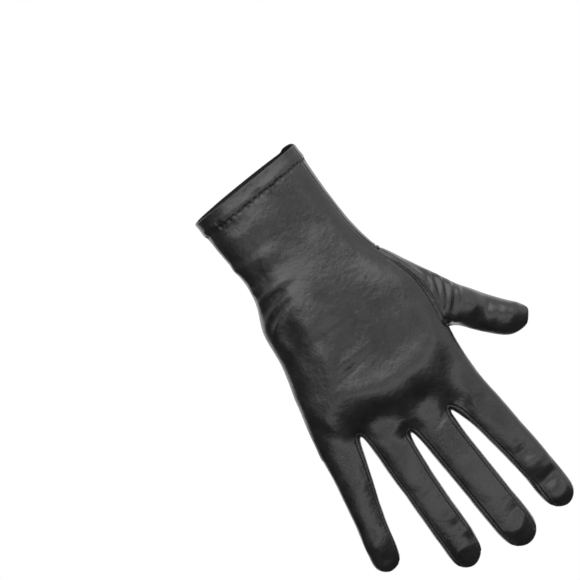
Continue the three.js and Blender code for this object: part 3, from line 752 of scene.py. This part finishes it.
def pressed(s):
    """The surface with its folds, seams and puckers."""
    p, n = s.points, s.normals()
    off, place, deep, at_thumb = seam_field(s)
    on_thumb = np.zeros(len(p), bool)
    on_thumb[s.faces[s.panels == "thumb"]] = True
    rise = np.zeros(len(p))
    for fold in FOLDS:
        near, amount = fold_share(p, n, fold)
        rise[near] += amount
    # Seams: a groove between two soft ridges, drawn together by each stitch.
    pucker = np.sin(2 * math.pi * place / PUCKER_PITCH) * 0.5 + 0.5
    rise += deep * GROOVE[2] * bell(off, *GROOVE[:2])
    rise += deep * (RIDGE[2] + RIDGE_PUCKER * pucker) * bell(off, *RIDGE[:2])
    # The thumb's own cloth is drawn into a second, shallower line beside its seam.
    for middle, half_width, amount in THUMB_LINES:
        rise += (at_thumb & on_thumb) * amount * bell(off, middle, half_width)
    # Hem: a doubled band that steps down at its line of stitches, with puckers beside it.
    down = -p[:, 2]
    below = down - HEM_LINE
    around = np.arctan2(p[:, 1] / (CUFF_DEPTH / 2), p[:, 0] / (CUFF_WIDTH / 2)) * HEM_RADIUS
    flat_place = np.stack([around, down, 0 * down], axis=1)
    uneven = noise(flat_place, UNEVEN_SIZE, UNEVEN_SEED, 1)
    dent = 0.5 + 0.5 * np.sin(2 * math.pi * around / DENT_PITCH + UNEVEN_PITCH * uneven)
    edge = below - BAND_EDGE[0] - UNEVEN_EDGE * uneven
    rise += BAND_EDGE[2] * (1 - smooth(edge / BAND_EDGE[1]))
    rise += DENTS[2] * dent * bell(below - UNEVEN_DENT * uneven, *DENTS[:2])
    rise += SWELL[2] * bell(below, *SWELL[:2])
    crumple = noise(flat_place, PUCKER_SIZE, PUCKER_SEED, 1)
    for middle, half_width, amount in PUCKERS:
        rise += amount * crumple * bell(below, middle, half_width)
    for size, amount, seed in SLACK:
        rise += amount * noise(p, size, seed)
    moved = p + n * rise[:, None]
    tab = np.exp(-(((p[:, 0] - TAB[0]) / TAB[1]) ** 4) - np.maximum(down, 0) / 4)
    moved[:, 2] += TAB[2] * smooth(p[:, 1] / 5) * tab
    return Surface(moved, s.faces, s.panels, s.cloth, s.paths)


def blender_mesh(name, points, faces, cloth, material):
    mesh = bpy.data.meshes.new(name)
    mesh.vertices.add(len(points))
    mesh.vertices.foreach_set("co", (np.asarray(points) * MM).astype(np.float32).ravel())
    sizes = np.full(len(faces), faces.shape[1])
    mesh.loops.add(int(sizes.sum()))
    mesh.loops.foreach_set("vertex_index", faces.astype(np.int32).ravel())
    mesh.polygons.add(len(faces))
    mesh.polygons.foreach_set("loop_start", (np.cumsum(sizes) - sizes).astype(np.int32))
    layer = mesh.uv_layers.new(name="cloth")
    layer.data.foreach_set("uv", (np.asarray(cloth) / CLOTH_UNIT).astype(np.float32).ravel())
    mesh.polygons.foreach_set("use_smooth", np.ones(len(faces), bool))
    mesh.update(calc_edges=True)
    mesh.validate()
    piece = bpy.data.objects.new(name, mesh)
    bpy.context.scene.collection.objects.link(piece)
    mesh.materials.append(material)
    return piece


def open_edges(faces, count):
    """The edges that only one face has, as pairs of points in that face's order."""
    pairs = np.stack([faces, np.roll(faces, -1, axis=1)], axis=2).reshape(-1, 2)
    keys = np.sort(pairs, axis=1)
    keys = keys[:, 0].astype(np.int64) * count + keys[:, 1]
    _, first, uses = np.unique(keys, return_index=True, return_counts=True)
    return pairs[first[uses == 1]]


TINT = 1.06  # how much more blue than red and green the black has


def satin(name, darkest, palest, smoothest, roughest, level):
    """A woven cloth with a tone and a roughness that wander between two values."""
    mat = bpy.data.materials.new(name)
    mat.use_nodes = True
    nodes, links = mat.node_tree.nodes, mat.node_tree.links
    shader = nodes["Principled BSDF"]
    shader.inputs["Specular IOR Level"].default_value = level
    shader.inputs["Sheen Weight"].default_value = 0.03
    shader.inputs["Sheen Roughness"].default_value = 0.4
    place = nodes.new("ShaderNodeUVMap")
    place.uv_map = "cloth"

    def new(kind, **values):
        node = nodes.new(kind)
        for key, value in values.items():
            if key in node.inputs:
                node.inputs[key].default_value = value
            else:
                setattr(node, key, value)
        return node

    where = new("ShaderNodeTexCoord")
    blotch = new("ShaderNodeTexNoise", Scale=75.0, Detail=5.0, Roughness=0.62)
    links.new(where.outputs["Object"], blotch.inputs["Vector"])
    spread = new("ShaderNodeMapRange")
    spread.inputs["From Min"].default_value = 0.3
    spread.inputs["From Max"].default_value = 0.7
    links.new(blotch.outputs["Fac"], spread.inputs["Value"])
    tone = new("ShaderNodeMix", data_type="RGBA")
    tone.inputs[6].default_value = (darkest, darkest, darkest * TINT, 1)
    tone.inputs[7].default_value = (palest, palest, palest * TINT, 1)
    links.new(spread.outputs["Result"], tone.inputs[0])
    links.new(tone.outputs[2], shader.inputs["Base Color"])
    rough = new("ShaderNodeMapRange")
    rough.inputs["To Min"].default_value = smoothest
    rough.inputs["To Max"].default_value = roughest
    links.new(blotch.outputs["Fac"], rough.inputs["Value"])
    links.new(rough.outputs["Result"], shader.inputs["Roughness"])
    # Weave: two sets of threads across each other, with slubs along them.
    warp = new("ShaderNodeTexWave", Scale=52.0, bands_direction="X")
    weft = new("ShaderNodeTexWave", Scale=52.0, bands_direction="Y")
    slub = new("ShaderNodeTexNoise", Scale=60.0, Detail=3.0, Roughness=0.6)
    stretch = new("ShaderNodeMapping", Scale=(1.0, 6.0, 1.0))
    links.new(place.outputs["UV"], warp.inputs["Vector"])
    links.new(place.outputs["UV"], weft.inputs["Vector"])
    links.new(place.outputs["UV"], stretch.inputs["Vector"])
    links.new(stretch.outputs["Vector"], slub.inputs["Vector"])
    cross = new("ShaderNodeMath", operation="ADD")
    links.new(warp.outputs["Fac"], cross.inputs[0])
    links.new(weft.outputs["Fac"], cross.inputs[1])
    height = new("ShaderNodeMath", operation="MULTIPLY_ADD")
    links.new(slub.outputs["Fac"], height.inputs[0])
    height.inputs[1].default_value = 1.5
    links.new(cross.outputs["Value"], height.inputs[2])
    bump = new("ShaderNodeBump", Strength=0.25, Distance=0.00003)
    links.new(height.outputs["Value"], bump.inputs["Height"])
    # Fine crinkles.
    crinkle = new("ShaderNodeTexNoise", Scale=400.0, Detail=2.0, Roughness=0.55)
    links.new(where.outputs["Object"], crinkle.inputs["Vector"])
    crumpled = new("ShaderNodeBump", Strength=1.0, Distance=0.0002)
    links.new(crinkle.outputs["Fac"], crumpled.inputs["Height"])
    links.new(bump.outputs["Normal"], crumpled.inputs["Normal"])
    links.new(crumpled.outputs["Normal"], shader.inputs["Normal"])
    return mat


satin_material = satin("black_satin", 0.005, 0.018, 0.27, 0.39, 0.6)
# The satin's wrong side: matte, and darker than the right side as painted shade for the inside of
# the cuff.
wrong_side_and_shade_material = satin("satin_wrong_side_and_painted_shade", 0.004, 0.008, 0.6, 0.75, 0.2)
thread_material = satin("thread", 0.008, 0.016, 0.45, 0.55, 0.4)
fine = pressed(refined(LEVELS))
fine_normals = fine.normals()

FLANGE = 1.0  # how far a panel's edge turns in at a seam


def make_panel(name, panel, node):
    """One panel of the cloth, with its edges turned in at the seams."""
    keep = fine.panels == panel
    faces, cloth = fine.faces[keep], fine.cloth[keep]
    used, where = np.unique(faces, return_inverse=True)
    faces = where.reshape(faces.shape)
    points, normals = fine.points[used], fine_normals[used]
    edges = open_edges(faces, len(points))
    rim = set(fine.paths["rim"].tolist())
    keep = np.array([not (used[a] in rim and used[b] in rim) for a, b in edges])
    edges = edges[keep]
    ends, where = np.unique(edges, return_inverse=True)
    where = where.reshape(edges.shape) + len(points)
    turned = points[ends] - normals[ends] * FLANGE
    flange = np.stack([edges[:, 1], edges[:, 0], where[:, 0], where[:, 1]], axis=1)
    flange_cloth = np.zeros((len(flange), 4, 2))
    piece = blender_mesh(
        name,
        np.concatenate([points, turned]),
        np.concatenate([faces, flange]),
        np.concatenate([cloth, flange_cloth]),
        satin_material,
    )
    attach(piece, "root")
    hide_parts(node)


make_panel("back_cloth", "back", "back_panel")
make_panel("palm_cloth", "palm", "palm_panel")
make_panel("thumb_cloth", "thumb", "thumb_panel")
for a, b in (("little", "ring"), ("ring", "middle"), ("middle", "index")):
    make_panel(f"fourchette_cloth_{a}_{b}", f"fourchette_{a}_{b}", f"fourchette_{a}_{b}")


def walk_down(s, steps):
    """Loops of points from the rim down, each one row of faces lower."""
    pairs, _, _, _ = s.edges()
    beside = {}
    for a, b in pairs.tolist():
        beside.setdefault(a, []).append(b)
        beside.setdefault(b, []).append(a)
    loops = [s.paths["rim"][:-1]]
    seen = set(loops[0].tolist())
    for _ in range(steps):
        after = []
        for a in loops[-1].tolist():
            after.append(next(b for b in beside[a] if b not in seen))
        seen |= set(after)
        loops.append(np.array(after))
    return loops


# The hem: over the rim in a roll and down inside, where its raw edge lies against the cloth.
ROLL = 0.6
ROLL_RINGS = 9
SHINING_RINGS = 3  # how many of them have the shining satin; the rest take the darker, matte material, whose dark tone is painted shade inside the cuff
HEM_ROWS = 5 * 2 ** (LEVELS - 2)  # how far it goes down inside
RAW_EDGE = (0.6, 0.3)  # its depth, as a share of the roll, and how much farther down it lies
HEM_CLOTH = (160.0, 0.5)  # the cloth's places: the way round the cuff, and a row of faces
loops = walk_down(fine, HEM_ROWS)
rim_points, rim_normals = fine.points[loops[0]], fine_normals[loops[0]]
up = unit(fine.points[loops[0]] - fine.points[loops[1]])
rings = []
for angle in np.linspace(0, math.pi, ROLL_RINGS):
    across = rim_normals * ROLL * (math.cos(angle) - 1)
    rings.append(rim_points + across + up * ROLL * math.sin(angle))
for loop in loops[1:]:
    rings.append(fine.points[loop] - fine_normals[loop] * 2 * ROLL)
under = fine_normals[loops[-1]] * ROLL * RAW_EDGE[0]
rings.append(fine.points[loops[-1]] - under - up * RAW_EDGE[1])
count = len(loops[0])
grid = np.arange(len(rings) * count).reshape(len(rings), count)
right = np.roll(grid, -1, axis=1)
hem_faces = np.stack([grid[:-1], right[:-1], right[1:], grid[1:]], axis=2).reshape(-1, 4)
arc = np.arange(count + 1) * HEM_CLOTH[0] / count
hem_cloth = np.empty((len(rings) - 1, count, 4, 2))
for corner, (far, low) in enumerate([(0, 0), (1, 0), (1, 1), (0, 1)]):
    hem_cloth[:, :, corner, 0] = arc[far : far + count]
    hem_cloth[:, :, corner, 1] = -(np.arange(len(rings) - 1)[:, None] + low) * HEM_CLOTH[1]
hem_cloth = hem_cloth.reshape(-1, 4, 2)
hem = blender_mesh("cuff_hem_cloth", np.concatenate(rings), hem_faces, hem_cloth, satin_material)
# The hem's rings inside the cuff take the darker, matte material: their dark tone is painted shade.
hem.data.materials.append(wrong_side_and_shade_material)
is_shaded_inside = (np.arange(len(hem_faces)) >= SHINING_RINGS * count).astype(np.int32)
hem.data.polygons.foreach_set("material_index", is_shaded_inside)
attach(hem, "root")
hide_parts("cuff_hem")

# The inside of the cloth, in the matte material of the satin's wrong side; its darker tone is
# painted shade.
INNER_DEPTH = 0.6
inner = pressed(refined(LEVELS - 1))
inner_points = inner.points - inner.normals() * INNER_DEPTH
inside = blender_mesh(
    "cloth_inside", inner_points, inner.faces[:, ::-1], inner.cloth[:, ::-1], wrong_side_and_shade_material
)
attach(inside, "root")

STITCH_SIDES = 6
STITCH_RINGS = np.array([-1.0, -0.6, 0.0, 0.6, 1.0])
# Along the seams: step, half length, height over the cloth, radius and bow.
SEAM_STEP, SEAM_HALF, SEAM_LIFT, SEAM_RADIUS, SEAM_BOW = 2.1, 0.6, 0.08, 0.11, 0.1
# Round the hem: step, the zigzag's height above and below its line, radius and bow.
ZIGZAG_STEP, ZIGZAG_UP, ZIGZAG_DOWN, ZIGZAG_RADIUS, ZIGZAG_BOW = 1.25, 0.55, 0.45, 0.14, 0.14


def sew(name, starts, ends, normals, radius, bow):
    """Stitches as bowed threads: each rises from the cloth at its start and sinks in at its end."""
    middle, half = (starts + ends) / 2, (ends - starts) / 2
    side = unit(np.cross(normals, half))
    around = np.linspace(0, 2 * math.pi, STITCH_SIDES, endpoint=False)
    points = []
    for t in STITCH_RINGS:
        centre = middle + half * t + normals * bow * (1 - t * t)
        thick = radius * (1 - 0.5 * t * t)
        for angle in around:
            points.append(centre + thick * (math.cos(angle) * normals + math.sin(angle) * side))
    points = np.stack(points, axis=1).reshape(-1, 3)
    ring = np.arange(len(STITCH_RINGS) * STITCH_SIDES).reshape(len(STITCH_RINGS), STITCH_SIDES)
    after = np.roll(ring, -1, axis=1)
    one = np.stack([ring[:-1], after[:-1], after[1:], ring[1:]], axis=2).reshape(-1, 4)
    faces = (np.arange(len(starts))[:, None, None] * ring.size + one).reshape(-1, 4)
    piece = blender_mesh(name, points, faces, np.zeros((len(faces), 4, 2)), thread_material)
    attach(piece, "root")


def walk(line, step):
    """Even steps along a line of points: the point before each, and its share of the way on."""
    run = np.concatenate([[0], np.cumsum(np.linalg.norm(np.diff(line, axis=0), axis=1))])
    places = np.arange(step / 2, run[-1], step)
    before = np.clip(np.searchsorted(run, places) - 1, 0, len(line) - 2)
    share = (places - run[before]) / np.maximum(run[before + 1] - run[before], 1e-9)
    return before, share[:, None]


# Seams: stitches across the groove, all in one piece.
starts, ends, facings = [], [], []
for name, path in fine.paths.items():
    if name.startswith(("rim", "tip", "end")):  # no threads show on the fingertips
        continue
    line, normals = fine.points[path], fine_normals[path]
    before, share = walk(line, SEAM_STEP)
    spots = lerp(line[before], line[before + 1], share)
    facing = unit(lerp(normals[before], normals[before + 1], share))
    across = unit(np.cross(facing, line[before + 1] - line[before]))
    lift = facing * SEAM_LIFT
    starts.append(spots - across * SEAM_HALF + lift)
    ends.append(spots + across * SEAM_HALF + lift)
    facings.append(facing)
sew("seam_stitches", *map(np.concatenate, (starts, ends, facings)), SEAM_RADIUS, SEAM_BOW)

# Hem: a zigzag of thread round the foot of the doubled band.
band = np.stack([fine.points[loop] for loop in loops])
band_normals = np.stack([fine_normals[loop] for loop in loops])
line, facing = [], []
for k in range(count):
    drop = -band[:, k, 2]
    row = int(np.clip(np.searchsorted(drop, HEM_LINE) - 1, 0, len(drop) - 2))
    t = (HEM_LINE - drop[row]) / (drop[row + 1] - drop[row])
    line.append(lerp(band[row, k], band[row + 1, k], t))
    facing.append(unit(lerp(band_normals[row, k], band_normals[row + 1, k], t)))
line, facing = np.array(line + line[:1]), np.array(facing + facing[:1])
before, share = walk(line, ZIGZAG_STEP)
spots = lerp(line[before], line[before + 1], share)
facing = unit(lerp(facing[before], facing[before + 1], share))
spots[:, 2] += np.where(np.arange(len(spots)) % 2, ZIGZAG_UP, -ZIGZAG_DOWN)
ends = np.roll(spots, -1, axis=0)
sew("hem_stitches", spots, ends, facing, ZIGZAG_RADIUS, ZIGZAG_BOW)

# Camera: the picture's right in the glove's frame, where it looks, from how far (metres), how wide
# the frame is there, and how high it stands.
RIGHT = Vector((0.777, 0, -0.63))
AIM = Vector((-0.0153, 0.0, -0.0537))
DISTANCE, FRAME_WIDTH, ELEVATION = 1.2, 0.2853, math.radians(3)
SENSOR = 36
camera_data = bpy.data.cameras.new("camera")
camera_data.sensor_width = SENSOR
camera_data.lens = SENSOR * DISTANCE / FRAME_WIDTH
camera = bpy.data.objects.new("camera", camera_data)
bpy.context.scene.collection.objects.link(camera)
forward = Vector((0, math.cos(ELEVATION), -math.sin(ELEVATION)))
right_axis = (RIGHT - forward * RIGHT.dot(forward)).normalized()
up_axis = right_axis.cross(forward)
turn = Matrix((right_axis, up_axis, -forward)).transposed().to_4x4()
camera.matrix_world = Matrix.Translation(AIM - forward * DISTANCE) @ turn
bpy.context.scene.camera = camera

# Lights: degrees towards the thumb's side, degrees up, distance, width and height (m), power (W).
LIGHTS = [
    ("key", 12, 30.2, 1.6, 3.8, 1.87, 58),
    ("low", 9, -28.6, 1.6, 4.0, 0.6, 13),
    ("side", 96, 5, 1.4, 2.1, 2.2, 12),
    ("left", -88, 42, 1.4, 1.4, 0.8, 1.8),
    ("back", 180, 12, 1.5, 3.4, 3.2, 40),
]
WORLD_LIGHT = 0.04


def softbox(name, across, above, away, width, height, power):
    """A panel of light that faces the glove."""
    data = bpy.data.lights.new(name, "AREA")
    data.shape = "RECTANGLE"
    data.size, data.size_y, data.energy = width, height, power
    lamp = bpy.data.objects.new(name, data)
    bpy.context.scene.collection.objects.link(lamp)
    h, v = math.radians(across), math.radians(above)
    towards = Vector((math.sin(h) * math.cos(v), -math.cos(h) * math.cos(v), math.sin(v)))
    lamp.rotation_mode = "QUATERNION"
    lamp.rotation_quaternion = towards.to_track_quat("Z", "Y")
    lamp.location = AIM + towards * away
    lamp.visible_camera = False


for light in LIGHTS:
    softbox(*light)

world = bpy.data.worlds.new("studio")
world.use_nodes = True
world.node_tree.nodes["Background"].inputs["Color"].default_value = (1, 1, 1, 1)
world.node_tree.nodes["Background"].inputs["Strength"].default_value = WORLD_LIGHT
bpy.context.scene.world = world
bpy.context.scene.view_settings.view_transform = "Standard"

# Floor and backdrop, in metres: a flat disc below the glove, inside a sphere.
FLOOR_RADIUS, FLOOR_Z, FLOOR_SIDES = 5.5, -0.32, 96
BACKDROP_RADIUS, BACKDROP_ROUND, BACKDROP_HIGH = 6.0, 48, 24


def stage_piece(name, points, faces):
    """A plain pale piece that neither lights the glove nor shows in its gloss."""
    mat = bpy.data.materials.new(name)
    mat.use_nodes = True
    shader = mat.node_tree.nodes["Principled BSDF"]
    shader.inputs["Base Color"].default_value = (0, 0, 0, 1)
    shader.inputs["Specular IOR Level"].default_value = 0.0
    shader.inputs["Emission Color"].default_value = (1, 1, 1, 1)
    shader.inputs["Emission Strength"].default_value = 1.0
    mesh = bpy.data.meshes.new(name)
    mesh.from_pydata(points.tolist(), [], faces)
    mesh.materials.append(mat)
    piece = bpy.data.objects.new(name, mesh)
    bpy.context.scene.collection.objects.link(piece)
    piece.visible_diffuse = piece.visible_glossy = piece.visible_transmission = False
    piece.visible_shadow = False


t = np.linspace(0, 2 * math.pi, FLOOR_SIDES + 1)[:-1]
disc = [np.cos(t) * FLOOR_RADIUS, np.sin(t) * FLOOR_RADIUS, np.full(len(t), FLOOR_Z)]
stage_piece("floor", np.stack(disc, axis=1), [list(range(FLOOR_SIDES))])
us, vs = np.meshgrid(
    np.linspace(0, 2 * math.pi, BACKDROP_ROUND + 1), np.linspace(0, math.pi, BACKDROP_HIGH + 1)
)
dome = np.stack([np.cos(us) * np.sin(vs), np.sin(us) * np.sin(vs), np.cos(vs)], axis=2)
ids = np.arange(us.size).reshape(us.shape)
dome_faces = np.stack([ids[:-1, :-1], ids[:-1, 1:], ids[1:, 1:], ids[1:, :-1]], axis=2)
stage_piece("backdrop", dome.reshape(-1, 3) * BACKDROP_RADIUS, dome_faces.reshape(-1, 4).tolist())
